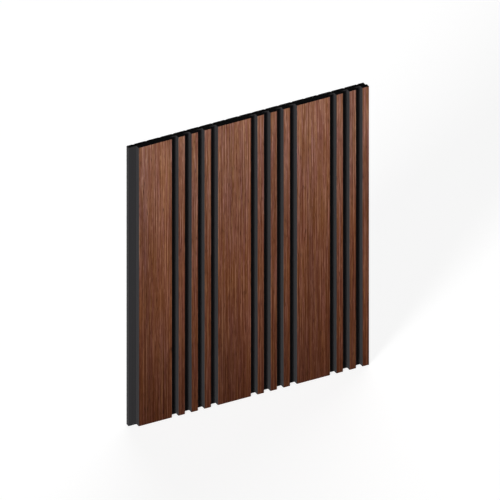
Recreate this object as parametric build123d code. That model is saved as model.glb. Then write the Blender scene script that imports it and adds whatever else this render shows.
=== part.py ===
from build123d import *
import os

# Slatted wall panel of extruded polystyrene: identical boards that lap at their long edges, each with one
# wide slat and a group of narrow slats, and a wood-look film on the flat front of every slat.
# Millimetres. +Z runs up the slats, the slats face -Y and the back, which takes the glue, lies on the plane
# Y = 0. The origin is the centre of the back.

# Panel
panel_height = 446.0
board_names = ("left", "middle", "right")

# Board, seen on its end: the rise of a slat is over its film
wide_slat_width = 51.5
narrow_slat_width = 10.5
narrow_slat_count = 3
groove_width = 9.6
base_thickness = 6.1
slat_rise = 6.9

# Lap joint: the tongue runs under the last slat of the board on its left
tongue_width = 12.3
lap_width = 2.1
lap_clearance = 0.1
butt_clearance = 0.2

# Edges of the extrusion
arris_radius = 0.5
root_radius = 0.5
tongue_edge_radius = 0.5

# Film
film_thickness = 0.2

# Grooves along the back that key the glue
glue_groove_count = 6
glue_groove_width = 3.0
glue_groove_depth = 0.8

# Worked out from the sizes above
slat_group_width = narrow_slat_count * (groove_width + narrow_slat_width)
board_width = tongue_width + wide_slat_width + slat_group_width
board_pitch = board_width - lap_width
base_width = board_pitch - butt_clearance
panel_width = board_pitch * len(board_names) + lap_width
front_depth = base_thickness + slat_rise
core_depth = front_depth - film_thickness
same_place = 1e-6

# The section is drawn looking up at the top end: across the panel, then forward from its back
top_end = Plane(origin=(-panel_width / 2, 0, panel_height / 2), x_dir=(1, 0, 0), z_dir=(0, 0, -1))


def block(left, right, back, front):
    """Rectangle of the section between two places across the board and two depths from its back."""
    return Pos(left, back) * Rectangle(right - left, front - back, align=(Align.MIN, Align.MIN))


def slat_spans():
    """Left and right edge of each slat of a board: the wide slat, then the narrow ones."""
    spans = [(tongue_width, tongue_width + wide_slat_width)]
    for _ in range(narrow_slat_count):
        left = spans[-1][1] + groove_width
        spans.append((left, left + narrow_slat_width))
    return spans


def slat_core(left, right):
    """Polystyrene of one slat up to the back of its film, with rounded front arrises."""
    core = block(left, right, base_thickness, core_depth)
    arrises = core.vertices().group_by(Axis.Y)[-1]
    return fillet(arrises, arris_radius)


def glue_grooves():
    """Shallow grooves spread evenly over the back of the base."""
    spacing = base_width / glue_groove_count
    grooves = Sketch()
    for index in range(glue_groove_count):
        left = (index + 0.5) * spacing - glue_groove_width / 2
        grooves += block(left, left + glue_groove_width, 0, glue_groove_depth)
    return grooves


def board_section():
    """Whole section of a board: base with its tongue, slats, grooves at the back and the lap."""
    section = block(0, base_width, 0, base_thickness)
    for left, right in slat_spans():
        section += slat_core(left, right)
    section -= block(base_width, board_width, base_thickness, base_thickness + lap_clearance)
    section -= glue_grooves()
    on_base = section.vertices().filter_by(lambda v: abs(v.Y - base_thickness) < same_place)
    section = fillet(on_base.filter_by(lambda v: v.X > same_place), root_radius)
    on_base = section.vertices().filter_by(lambda v: abs(v.Y - base_thickness) < same_place)
    return fillet(on_base.filter_by(lambda v: v.X < same_place), tongue_edge_radius)


def facing_section(left, right):
    """Film on the flat front of one slat, from one rounded arris to the other."""
    return block(left + arris_radius, right - arris_radius, core_depth, front_depth)


def extrude_down(section, board_index):
    """Length of a section from the top end to the bottom end, at the place of one board."""
    return extrude(top_end * Pos(board_index * board_pitch, 0) * section, panel_height)


def main():
    os.makedirs("parts", exist_ok=True)
    board = board_section()
    facings = {}
    for index, (left, right) in enumerate(slat_spans()):
        name = f"narrow_facing_{index}" if index else "wide_facing"
        facings[name] = facing_section(left, right)
    for board_index, board_name in enumerate(board_names):
        export_step(extrude_down(board, board_index), f"parts/{board_name}_board.step")
        for facing_name, section in facings.items():
            facing = extrude_down(section, board_index)
            export_step(facing, f"parts/{board_name}_{facing_name}.step")


main()
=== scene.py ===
# %% [markdown]
# Slatted wall panel
#
# The panel is three boards of dark extruded polystyrene that lap at their long edges. Each board has one
# wide slat and three narrow ones, and the front of every slat wears a printed film that looks like walnut.
# The solids already have their real shape and size, so this lesson is about finishes: the wood print, the
# matt skin that comes out of the die and the rough grain of the sawn ends. It closes with a plain studio.

# %% Load the solids
import math
import bmesh
import bpy
from mathutils import Matrix, Vector


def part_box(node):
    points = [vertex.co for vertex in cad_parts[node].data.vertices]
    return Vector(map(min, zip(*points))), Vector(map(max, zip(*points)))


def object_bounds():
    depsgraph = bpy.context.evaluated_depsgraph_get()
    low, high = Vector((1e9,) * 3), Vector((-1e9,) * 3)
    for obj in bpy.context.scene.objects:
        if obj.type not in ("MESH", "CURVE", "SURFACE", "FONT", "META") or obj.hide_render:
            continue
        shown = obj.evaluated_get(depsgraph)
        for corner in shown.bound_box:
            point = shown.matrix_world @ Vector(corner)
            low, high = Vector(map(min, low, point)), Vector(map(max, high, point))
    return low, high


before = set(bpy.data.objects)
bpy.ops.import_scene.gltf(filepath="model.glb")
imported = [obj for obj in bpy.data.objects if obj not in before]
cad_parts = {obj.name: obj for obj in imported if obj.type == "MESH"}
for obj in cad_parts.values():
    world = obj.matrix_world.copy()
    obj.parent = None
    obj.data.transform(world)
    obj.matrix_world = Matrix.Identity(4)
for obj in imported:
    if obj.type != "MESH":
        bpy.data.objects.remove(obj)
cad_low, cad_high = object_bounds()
print("solids:", ", ".join(sorted(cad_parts)))
print("panel, mm:", [round(1000 * side, 1) for side in cad_high - cad_low])

# %% [markdown]
# Camera
#
# The slats stay parallel in the picture and don't run to a vanishing point, so the camera is orthographic.
# It stands a little to the left of the panel and looks down. Its framing could be found by trying, but one
# corner whose pixel is known fixes it at once: the lower left front corner of the first wide film.

# %% Camera at the angle of the picture
picture_pixels = 500
pixel_size = 0.0013714
view_azimuth = math.radians(-27.37)
view_elevation = math.radians(31.17)
corner_pixel = (139.14, 426.31)
camera_distance = 3.0

rightwards = Vector((math.cos(view_azimuth), math.sin(view_azimuth), 0))
towards_camera = Vector((
    math.sin(view_azimuth) * math.cos(view_elevation),
    -math.cos(view_azimuth) * math.cos(view_elevation),
    math.sin(view_elevation),
))
upwards = towards_camera.cross(rightwards)

film_corner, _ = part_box("left_wide_facing")
corner_right = (corner_pixel[0] - picture_pixels / 2) * pixel_size
corner_up = (picture_pixels / 2 - corner_pixel[1]) * pixel_size
picture_centre = film_corner - rightwards * corner_right - upwards * corner_up

camera = bpy.data.objects.new("camera", bpy.data.cameras.new("camera"))
camera.data.type = "ORTHO"
camera.data.ortho_scale = picture_pixels * pixel_size
camera_axes = Matrix((rightwards, upwards, towards_camera)).transposed().to_4x4()
camera.matrix_world = Matrix.Translation(picture_centre + towards_camera * camera_distance) @ camera_axes
bpy.context.scene.collection.objects.link(camera)
bpy.context.scene.camera = camera
print("camera sees, mm:", round(1000 * camera.data.ortho_scale, 1))

# %% [markdown]
# Short words for nodes
#
# A procedural finish is a graph of nodes. Written out in full, each node takes a line to make it, a line
# for every value and a line for every link, and the idea gets lost between them. A few small helpers keep
# each step of a finish on one line.

# %% Helpers that place and join nodes
def place(tree, kind, inputs, **options):
    """New node in a tree: options are its own settings, inputs are plain values or sockets to join."""
    node = tree.nodes.new(kind)
    for option, value in options.items():
        setattr(node, option, value)
    for socket, value in inputs.items():
        if isinstance(value, bpy.types.NodeSocket):
            tree.links.new(value, node.inputs[socket])
        else:
            node.inputs[socket].default_value = value
    return node


def maths(tree, operation, *values):
    """Result of one step of arithmetic on numbers or sockets."""
    return place(tree, "ShaderNodeMath", dict(enumerate(values)), operation=operation).outputs[0]


def spot_on_panel(tree):
    """Where a point lies in the frame of the panel, in metres."""
    return place(tree, "ShaderNodeTexCoord", {}).outputs["Object"]


print("helpers: place, maths, spot_on_panel")

# %% [markdown]
# Streaks along the length
#
# Both materials of this panel have marks that run along it: the fibres of the wood print, and the faint
# lines that a die draws on an extrusion. One picture of each would do for a single view, but noise in the
# panel's own coordinates holds from every side and at any distance. The group squeezes the noise across the
# panel and draws it out along the height, and lets it wander sideways a little, because no fibre is ruled
# with a straightedge.

# %% Node group: lengthwise streaks
wander_width = 0.030
wander_length = 0.120
noise_gain = 4.0


def make_streaks():
    """Group that puts out noise about zero, drawn out along Z."""
    group = bpy.data.node_groups.new("lengthwise streaks", "ShaderNodeTree")
    for name in ("Width", "Length", "Wander", "Detail", "Seed", "Shift"):
        group.interface.new_socket(name, in_out="INPUT", socket_type="NodeSocketFloat")
    group.interface.new_socket("Streak", in_out="OUTPUT", socket_type="NodeSocketFloat")
    given = place(group, "NodeGroupInput", {}).outputs
    spot = spot_on_panel(group)
    stretch = (1 / wander_width, 1 / wander_width, 1 / wander_length)
    slow = place(group, "ShaderNodeVectorMath", {0: spot, 1: stretch}, operation="MULTIPLY").outputs[0]
    sway = place(group, "ShaderNodeTexNoise", {"Vector": slow, "Scale": 1.0, "Detail": 1.0}).outputs["Fac"]
    sideways = maths(group, "MULTIPLY", maths(group, "SUBTRACT", sway, 0.5), given["Wander"])
    sideways = maths(group, "ADD", sideways, given["Shift"])
    axes = place(group, "ShaderNodeSeparateXYZ", {0: spot}).outputs
    squeezed = {
        0: maths(group, "DIVIDE", maths(group, "ADD", axes["X"], sideways), given["Width"]),
        1: maths(group, "DIVIDE", axes["Y"], given["Width"]),
        2: maths(group, "DIVIDE", axes["Z"], given["Length"]),
    }
    drawn_out = place(group, "ShaderNodeCombineXYZ", squeezed).outputs[0]
    noise_inputs = {"Vector": drawn_out, "W": given["Seed"], "Scale": 1.0, "Detail": given["Detail"]}
    noise = place(group, "ShaderNodeTexNoise", noise_inputs, noise_dimensions="4D").outputs["Fac"]
    about_zero = maths(group, "MULTIPLY", maths(group, "SUBTRACT", noise, 0.5), noise_gain)
    place(group, "NodeGroupOutput", {"Streak": about_zero})
    return group


streaks = make_streaks()
print("node group:", streaks.name, [socket.name for socket in streaks.interface.items_tree])

# %% [markdown]
# Walnut film: tone
#
# The film on the slats is printed from a walnut board. A scan of real veneer could be laid on, but it would
# repeat from slat to slat, so the wood is drawn in steps. The first is its tone, which falls from a light
# brown at the top to a dark one at the bottom. That fall is painted light: the film is coloured lighter at
# the top and darker at the bottom, as light that fades downwards would make it. The lamps could make it
# instead, but the bare tongue beside the first slat is as dark at its top as at its foot, so it is painted
# on the film alone.

# %% Film: tone from top to bottom
# Painted light: lighter at the top and darker at the bottom, a fall of light put into the film's colour.
painted_lit_top_tone = (0.203, 0.0815, 0.0490, 1)
middle_tone = (0.119, 0.0395, 0.0198, 1)
painted_shaded_bottom_tone = (0.058, 0.0166, 0.0075, 1)


def new_material(name):
    """Material with a Principled shader, its node tree and that shader."""
    material = bpy.data.materials.new(name)
    material.use_nodes = True
    return material, material.node_tree, material.node_tree.nodes["Principled BSDF"]


def three_tones(tree, share, low, middle, high):
    """Colour that runs from low through middle to high as the share goes from 0 to 1."""
    ramp = place(tree, "ShaderNodeValToRGB", {"Fac": share})
    tones = ramp.color_ramp.elements
    tones[0].color = low
    tones[1].color = high
    tones.new(0.5).color = middle
    return ramp.outputs["Color"]


film, film_tree, film_shader = new_material("walnut film")
film_z = place(film_tree, "ShaderNodeSeparateXYZ", {0: spot_on_panel(film_tree)}).outputs["Z"]
height_span = {"Value": film_z, "From Min": cad_low.z, "From Max": cad_high.z}
height = place(film_tree, "ShaderNodeMapRange", height_span).outputs["Result"]
# The tone carries the painted fall of light, from a lit top to a shaded foot.
tone = three_tones(film_tree, height, painted_shaded_bottom_tone, middle_tone, painted_lit_top_tone)
print("tone of the film: three browns over", round(1000 * (cad_high.z - cad_low.z)), "mm")

# %% [markdown]
# Walnut film: fibres
#
# Two sets of fibres, long and short, run over the tone. A print is sharpened before it is pressed on, which
# leaves a faint halo of the opposite tone beside each fibre. A filter over the picture would add it to the
# dark grooves as well, so the halo is made here: the fibres moved to both sides, taken off again.

# %% Film: fibres with their halo
long_fibre_width = 0.0013
long_fibre_length = 0.260
short_fibre_width = 0.0011
short_fibre_length = 0.150
fibre_wander = 0.0006
fibre_detail = 2.0
halo_reach = 0.0015
halo_strength = 0.30


def streak(tree, width, length, wander=0.0, detail=0.0, seed=0.0, shift=0.0):
    """Streaks of a width and length in metres, as a value that runs from about -1 to 1."""
    node = tree.nodes.new("ShaderNodeGroup")
    node.node_tree = streaks
    node.inputs["Width"].default_value = width
    node.inputs["Length"].default_value = length
    node.inputs["Wander"].default_value = wander
    node.inputs["Detail"].default_value = detail
    node.inputs["Seed"].default_value = seed
    node.inputs["Shift"].default_value = shift
    return node.outputs["Streak"]


def fibres(shift):
    """Long and short fibres together, moved sideways by a shift in metres."""
    shared = {"wander": fibre_wander, "detail": fibre_detail, "shift": shift}
    long_fibres = streak(film_tree, long_fibre_width, long_fibre_length, seed=1.0, **shared)
    short_fibres = streak(film_tree, short_fibre_width, short_fibre_length, seed=2.0, **shared)
    return maths(film_tree, "ADD", long_fibres, short_fibres)


both_sides = maths(film_tree, "ADD", fibres(-halo_reach), fibres(halo_reach))
fibre = maths(film_tree, "MULTIPLY_ADD", both_sides, -halo_strength / 2, fibres(0.0))
print("fibres of the film: the halo reaches", round(1000 * halo_reach, 1), "mm to each side")

# %% [markdown]
# Walnut film: short marks
#
# Between the fibres lie light flecks, and much shorter dashes that are open pores where they are dark and
# glints where they are light. They could be scattered as small shapes of their own, but a streak that is
# cut off near its peaks gives them for nothing: only what rises past a start counts.

# %% Film: flecks, glints and pores
fleck_width = 0.0009
fleck_length = 0.034
fleck_height = 0.30
dash_width = 0.0008
dash_length = 0.012
glint_height = 0.28
pore_depth = 0.50
mark_wander = 0.0015


def peaks(tree, value, start, full, height):
    """0 up to where a value starts to count, then rising to a height where it counts in full."""
    span = {"Value": value, "From Min": start, "From Max": full, "To Max": height}
    return place(tree, "ShaderNodeMapRange", span).outputs["Result"]


light_streaks = streak(film_tree, fleck_width, fleck_length, wander=mark_wander, seed=6.0)
dashes = streak(film_tree, dash_width, dash_length, wander=mark_wander, seed=4.0)
fleck = peaks(film_tree, light_streaks, start=0.1, full=0.8, height=fleck_height)
glint = peaks(film_tree, dashes, start=-0.64, full=-0.94, height=glint_height)
pore = peaks(film_tree, dashes, start=0.65, full=0.95, height=pore_depth)
light_marks = maths(film_tree, "ADD", fleck, glint)
print("short marks of the film: a pore takes away", f"{pore_depth:.0%}", "of the light")

# %% [markdown]
# Walnut film: tint of the fibres
#
# A light fibre is greyer than a dark one. The fibres could simply make the tone lighter or darker, but then
# the wood would look like a grey pattern under brown glass, so they tint red, green and blue by different
# amounts. They stand out more towards the bottom, where the tone is darker with its painted shade, and the
# flecks and glints push the tint further to the light side.

# %% Film: tint of the fibres
dark_fibre = (0.57, 0.41, 0.285, 1)
plain_fibre = (1.00, 1.00, 1.00, 1)
light_fibre = (1.97, 2.55, 3.07, 1)
top_contrast = 0.30
bottom_contrast = 0.49
fibre_middle = 0.47

contrast_span = {"Value": height, "To Min": bottom_contrast, "To Max": top_contrast}
contrast = place(film_tree, "ShaderNodeMapRange", contrast_span).outputs["Result"]
fibre_share = maths(film_tree, "MULTIPLY_ADD", fibre, contrast, fibre_middle)
fibre_share = maths(film_tree, "ADD", fibre_share, light_marks)
fibre_tint = three_tones(film_tree, fibre_share, dark_fibre, plain_fibre, light_fibre)
print("tint of the fibres: dark", dark_fibre[:3], "to light", light_fibre[:3])

# %% [markdown]
# Walnut film: colour
#
# No board has one hue all over. Narrow streaks swing it between plum and amber, and broad bands make it
# cooler or warmer, or darker or lighter. A colour could be picked for each mix of these, but each is a
# factor on the tone instead, so any of them can be changed without the others. The pores darken what comes
# out.

# %% Film: tints over the tone
cast_width = 0.0034
cast_length = 0.065
plum_cast = (0.99, 0.965, 1.13, 1)
amber_cast = (1.01, 1.035, 0.82, 1)
hue_band_width = 0.0110
hue_band_length = 0.250
cool_band = (0.964, 1.00, 1.099, 1)
warm_band = (1.036, 1.00, 0.91, 1)
shade_band_width = 0.0220
shade_band_length = 0.220
dark_band = (0.875, 0.875, 0.875, 1)
light_band = (1.125, 1.125, 1.125, 1)
band_wander = 0.006


def mixed(tree, share, first, second):
    """Colour between two colours: the first where the share is 0, the second where it is 1."""
    return place(tree, "ShaderNodeMix", {0: share, 6: first, 7: second}, data_type="RGBA").outputs[2]


def streaked(width, length, seed, first, second):
    """Tint that swings between two colours in wandering streaks of a width and length in metres."""
    swing = streak(film_tree, width, length, wander=band_wander, seed=seed)
    return mixed(film_tree, maths(film_tree, "MULTIPLY_ADD", swing, 0.5, 0.5), first, second)


tints = (
    fibre_tint,
    streaked(cast_width, cast_length, 3.0, plum_cast, amber_cast),
    streaked(hue_band_width, hue_band_length, 7.0, cool_band, warm_band),
    streaked(shade_band_width, shade_band_length, 8.0, dark_band, light_band),
)
wood = tone
for tint in tints:
    wood = place(film_tree, "ShaderNodeVectorMath", {0: wood, 1: tint}, operation="MULTIPLY").outputs[0]
open_wood = maths(film_tree, "SUBTRACT", 1.0, pore)
pored = {0: wood, "Scale": open_wood}
wood = place(film_tree, "ShaderNodeVectorMath", pored, operation="SCALE").outputs[0]
film_tree.links.new(wood, film_shader.inputs["Base Color"])
print("colour of the film:", len(tints), "tints over the tone")

# %% [markdown]
# Walnut film: gloss and relief
#
# The film is matt, and a fine grain is pressed into it: fibres stand up a little and pores sink in. Real
# relief would need a mesh far finer than a tenth of a millimetre, so a bump tilts the light instead. Its
# gloss follows the fibres by a few parts in a hundred.

# %% Film: gloss and relief
film_roughness = 0.55
film_roughness_swing = 0.05
fibre_relief = 0.25
film_relief_strength = 0.25
film_relief_depth = 0.0001
matt_level = 0.03


def add_bump(tree, shader, height, strength, depth):
    """Bump that follows a height, with a depth in metres."""
    bump = place(tree, "ShaderNodeBump", {"Strength": strength, "Distance": depth, "Height": height})
    tree.links.new(bump.outputs["Normal"], shader.inputs["Normal"])


film_gloss = maths(film_tree, "MULTIPLY_ADD", fibre, film_roughness_swing, film_roughness)
film_tree.links.new(film_gloss, film_shader.inputs["Roughness"])
grain = maths(film_tree, "SUBTRACT", maths(film_tree, "MULTIPLY", fibre, fibre_relief), pore)
add_bump(film_tree, film_shader, grain, film_relief_strength, film_relief_depth)
film_shader.inputs["Specular IOR Level"].default_value = matt_level
print("material:", film.name, len(film_tree.nodes), "nodes")

# %% [markdown]
# Skin of the extrusion
#
# The boards are polystyrene that was pushed through a die, so their skin is matt and dark grey, with faint
# lines along the length and a fine speckle where the foam shows through. The streak group gives the lines
# with other sizes, and plain noise gives the speckle. Both shift the dark grey only a little and go on to
# the bump, because the skin is nearly even.

# %% Dark polystyrene skin
skin_dark = (0.022, 0.0213, 0.0225, 1)
skin_light = (0.034, 0.0332, 0.035, 1)
skin_roughness = 0.54
skin_roughness_swing = 0.16
skin_relief_strength = 0.2
skin_relief_depth = 0.0001
speckle_size = 0.0007
die_line_width = 0.0011
die_line_length = 0.300
die_line_share = 0.25

skin, skin_tree, skin_shader = new_material("polystyrene skin")
speckle_inputs = {"Vector": spot_on_panel(skin_tree), "Scale": 1 / speckle_size, "Detail": 2.0}
speckle = place(skin_tree, "ShaderNodeTexNoise", speckle_inputs).outputs["Fac"]
die_lines = streak(skin_tree, die_line_width, die_line_length, detail=2.0, seed=5.0)
skin_marks = maths(skin_tree, "MULTIPLY_ADD", die_lines, die_line_share, speckle)
skin_tree.links.new(mixed(skin_tree, skin_marks, skin_dark, skin_light), skin_shader.inputs["Base Color"])
skin_gloss = maths(skin_tree, "MULTIPLY_ADD", skin_marks, skin_roughness_swing, skin_roughness)
skin_tree.links.new(skin_gloss, skin_shader.inputs["Roughness"])
add_bump(skin_tree, skin_shader, skin_marks, skin_relief_strength, skin_relief_depth)
skin_shader.inputs["Specular IOR Level"].default_value = matt_level
print("material:", skin.name, len(skin_tree.nodes), "nodes")

# %% [markdown]
# Sawn ends
#
# The boards are sawn to length, and the saw opens the cells of the foam. An end is coloured near black
# beside
# the skin: partly the foam's own dark colour, partly painted shade for an upward face that the lamps barely
# reach. It could be painted on by the direction of the surface, but it is another surface on the real board
# too, so it gets a material of its own. Its cells are closely packed, and their walls stand up between
# hollows that are painted dark as shade.

# %% Sawn polystyrene
cell_size = 0.0006
cell_wall_share = 0.25
# The walls are near black, partly the foam's own colour and partly painted shade; the hollows are painted
# shade.
cell_wall_with_painted_shade = (0.015, 0.0147, 0.0153, 1)
painted_shade_hollow = (0.0005, 0.0005, 0.00055, 1)
sawn_roughness = 0.85
sawn_roughness_swing = 0.1
sawn_relief_strength = 0.5
sawn_relief_depth = 0.0002

sawn, sawn_tree, sawn_shader = new_material("sawn polystyrene")
cell_inputs = {"Vector": spot_on_panel(sawn_tree), "Scale": 1 / cell_size}
cells = place(sawn_tree, "ShaderNodeTexVoronoi", cell_inputs, feature="DISTANCE_TO_EDGE")
wall_span = {"Value": cells.outputs["Distance"], "From Max": cell_wall_share}
hollow = place(sawn_tree, "ShaderNodeMapRange", wall_span).outputs["Result"]
# Painted shade: the hollows between the cell walls are coloured almost black.
sawn_tree.links.new(mixed(sawn_tree, hollow, cell_wall_with_painted_shade, painted_shade_hollow), sawn_shader.inputs["Base Color"])
sawn_gloss = maths(sawn_tree, "MULTIPLY_ADD", hollow, sawn_roughness_swing, sawn_roughness)
sawn_tree.links.new(sawn_gloss, sawn_shader.inputs["Roughness"])
walls = maths(sawn_tree, "SUBTRACT", 1.0, hollow)
add_bump(sawn_tree, sawn_shader, walls, sawn_relief_strength, sawn_relief_depth)
sawn_shader.inputs["Specular IOR Level"].default_value = 0.0
print("material:", sawn.name, len(sawn_tree.nodes), "nodes")

# %% [markdown]
# Dressing the solids
#
# Every solid keeps its shape and only changes its materials. A film has one. A board has two, and each of
# its faces picks one by its direction: the two ends look along the slats, and all other faces came out of
# the die.

# %% Give every solid its finish
least_along_slats = 0.9
end_faces = 0


def dress(solid, materials):
    """Puts new materials in a solid's slots."""
    solid.data.materials.clear()
    for material in materials:
        solid.data.materials.append(material)


for name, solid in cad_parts.items():
    if not name.endswith("_board"):
        dress(solid, [film])
        continue
    dress(solid, [skin, sawn])
    for face in solid.data.polygons:
        is_end = abs(face.normal.z) > least_along_slats
        face.material_index = int(is_end)
        end_faces += is_end
print("dressed:", len(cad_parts), "solids with", end_faces, "sawn faces")

# %% [markdown]
# Floor
#
# A plain white floor carries the panel's shadow. Lighting it until it turns white would also lift the dark
# grooves, so its paint is grey and takes light and shadow, and a glow that only the camera and mirrors see
# adds what is missing to white.

# %% Floor paint
floor_paint = (0.36, 0.36, 0.36, 1)
floor_glow = 0.82
white = (1.0, 1.0, 1.0, 1)


def seen_rays(tree):
    """1 for what the camera sees, straight, in a mirror or through glass, and 0 for light on its way."""
    rays = place(tree, "ShaderNodeLightPath", {}).outputs
    mirrored = maths(tree, "MAXIMUM", rays["Is Camera Ray"], rays["Is Glossy Ray"])
    return maths(tree, "MAXIMUM", mirrored, rays["Is Transmission Ray"])


def floor_white():
    """Grey paint with a glow that is only seen."""
    material = bpy.data.materials.new("floor white")
    material.use_nodes = True
    tree = material.node_tree
    tree.nodes.clear()
    paint = place(tree, "ShaderNodeBsdfDiffuse", {"Color": floor_paint}).outputs[0]
    glow_strength = maths(tree, "MULTIPLY", seen_rays(tree), floor_glow)
    glow = place(tree, "ShaderNodeEmission", {"Color": white, "Strength": glow_strength}).outputs[0]
    surface = place(tree, "ShaderNodeAddShader", {0: paint, 1: glow}).outputs[0]
    place(tree, "ShaderNodeOutputMaterial", {"Surface": surface})
    return material


floor_material = floor_white()
print("material:", floor_material.name, len(floor_material.node_tree.nodes), "nodes")

# %% [markdown]
# Floor disc
#
# The panel stands on the floor with its lower ends. A curved backdrop is the usual way to hide where a
# floor ends, but the background is as white as the floor, so a flat disc does, as long as its rim stays out
# of the picture.

# %% Floor under the panel
floor_radius = 8.0
floor_segments = 96

floor_mesh = bpy.data.meshes.new("floor")
disc = bmesh.new()
bmesh.ops.create_circle(disc, cap_ends=True, segments=floor_segments, radius=floor_radius)
disc.to_mesh(floor_mesh)
disc.free()
floor = bpy.data.objects.new("floor", floor_mesh)
floor.location.z = cad_low.z
floor.data.materials.append(floor_material)
bpy.context.scene.collection.objects.link(floor)
print("floor at z, mm:", round(1000 * floor.location.z, 1))

# %% [markdown]
# Light
#
# A soft key light from the left rakes across the slats: it is what turns every groove into a dark band with
# a lit side. It stands low, so the ends stay black. A weak, wide light further round lifts the sides of the
# slats, and one from behind keeps the back of the panel readable from other sides. A single large lamp
# would be simpler, but it would fill the grooves. Together they fall on the front at a level where a colour
# comes out about as it is written.

# %% Key light, side light and back light
def add_sun(name, strength, aside, height, softness):
    """Sun lamp with its angles in degrees. Gives back how much light it lays on the front of the panel."""
    lamp = bpy.data.lights.new(name, "SUN")
    lamp.energy = strength
    lamp.angle = math.radians(softness)
    sun = bpy.data.objects.new(name, lamp)
    aside = math.radians(aside)
    height = math.radians(height)
    towards_sun = Vector((
        math.sin(aside) * math.cos(height),
        -math.cos(aside) * math.cos(height),
        math.sin(height),
    ))
    sun.rotation_euler = towards_sun.to_track_quat("Z", "Y").to_euler()
    bpy.context.scene.collection.objects.link(sun)
    return strength * max(0, -towards_sun.y) / math.pi


front_level = add_sun("key light", strength=4.8, aside=-52.7, height=9, softness=13)
front_level += add_sun("side light", strength=0.6, aside=-80, height=5, softness=40)
front_level += add_sun("back light", strength=2.6, aside=145, height=16, softness=60)
print("light on the front:", round(front_level, 2))

# %% [markdown]
# Sky
#
# A little light from all round fills what the lamps leave dark. The same sky is the background, which has
# to be white, so what is seen of it and what it gives as light are two strengths of one white.

# %% Sky and view
sky_strength = 0.015

world = bpy.data.worlds.new("studio")
bpy.context.scene.world = world
world.use_nodes = True
sky = world.node_tree
sky.nodes.clear()
shown = place(sky, "ShaderNodeBackground", {"Color": white, "Strength": 1.0}).outputs[0]
fill = place(sky, "ShaderNodeBackground", {"Color": white, "Strength": sky_strength}).outputs[0]
sky_surface = place(sky, "ShaderNodeMixShader", {0: seen_rays(sky), 1: fill, 2: shown}).outputs[0]
place(sky, "ShaderNodeOutputWorld", {"Surface": sky_surface})
bpy.context.scene.view_settings.view_transform = "Standard"
print("sky:", sky_strength, "as light, shown as white")
